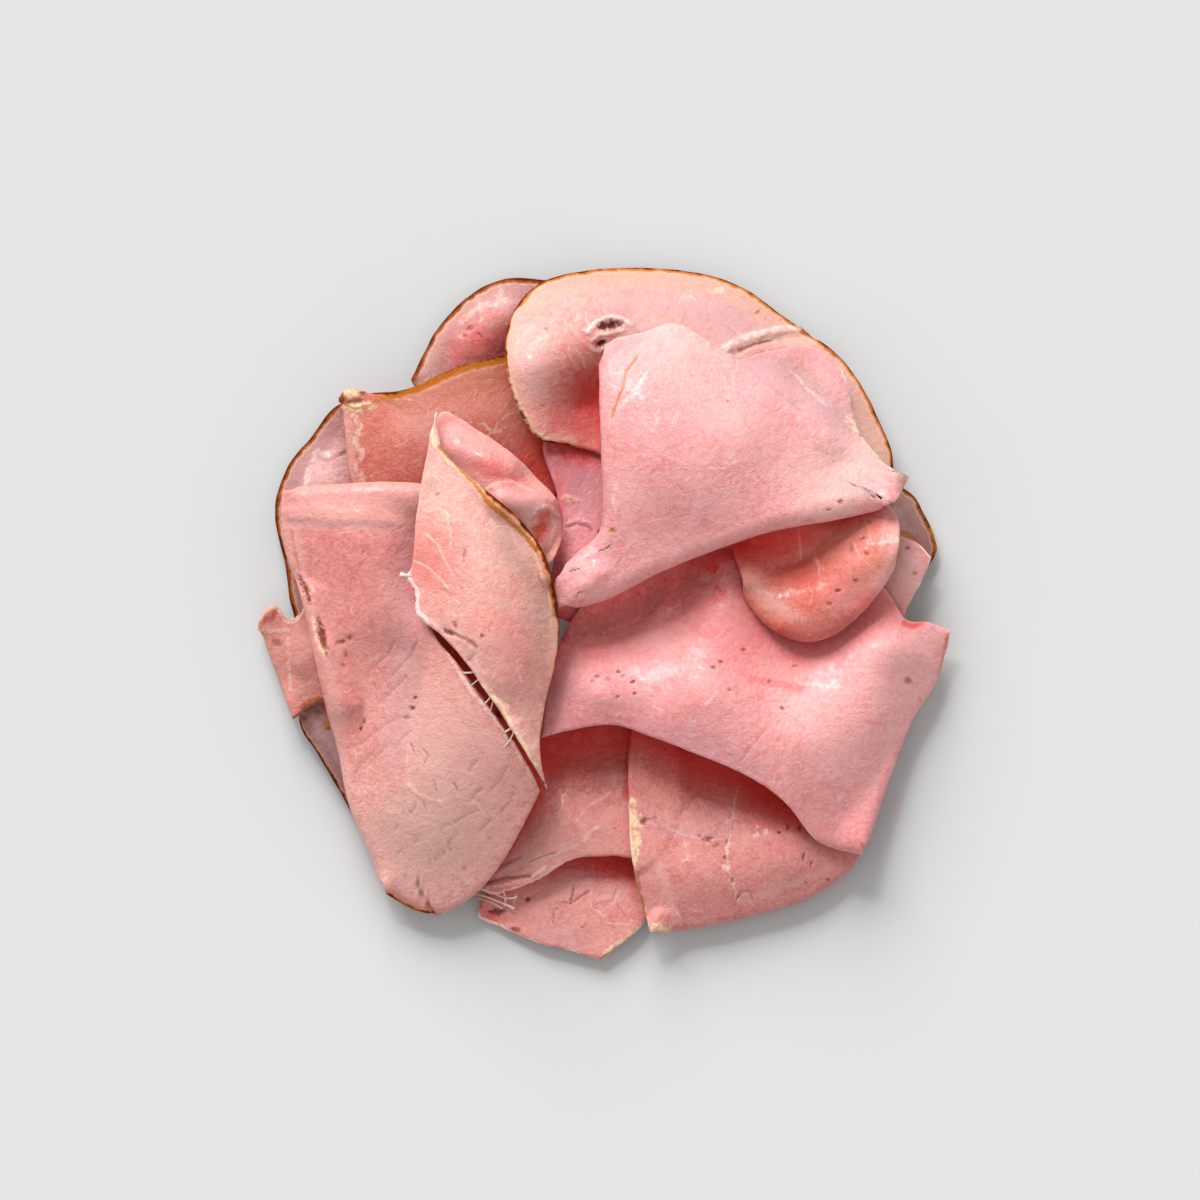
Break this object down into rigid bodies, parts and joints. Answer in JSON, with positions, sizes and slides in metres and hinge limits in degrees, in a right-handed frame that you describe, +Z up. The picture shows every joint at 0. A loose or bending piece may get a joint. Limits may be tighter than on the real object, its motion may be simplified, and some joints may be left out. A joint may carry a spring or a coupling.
{
  "type": "sliced smoked ham",
  "caption": "Loose heap of thin round slices of smoked ham, folded and laid over each other, with browned rind edges.",
  "frame": {"origin": "under the middle of the heap's outline, on the surface that it stands on", "axes": "+Z up out of the surface; +X to the right and +Y away from the viewer, as the heap is seen from above"},
  "size_m": [0.2099, 0.2095, 0.045],
  "materials": {
    "pale_meat": "moist pale pink meat with a thin brown rind",
    "pink_meat": "moist pink meat",
    "rose_meat": "moist rose meat with white marbling",
    "coral_meat": "moist coral meat",
    "mauve_meat": "moist greyish pink meat with a dark brown rind"
  },
  "bodies": {
    "root": {"lower_left_slice": "mauve_meat", "left_slice": "mauve_meat", "top_left_slice": "mauve_meat", "right_back_slice": "mauve_meat", "bottom_tip_slice": "rose_meat", "side_curl_slice": "pink_meat", "bottom_middle_slice": "rose_meat", "right_flap_slice": "rose_meat", "lower_right_slice": "rose_meat", "upper_left_slice": "coral_meat", "centre_slice": "pink_meat", "back_slice": "pale_meat", "right_front_slice": "pink_meat", "tongue_slice": "coral_meat", "front_fold_slice": "pink_meat", "left_front_slice": "rose_meat", "crumpled_slice": "pale_meat", "pale_tongue_slice": "pale_meat"}
  },
  "joints": []
}
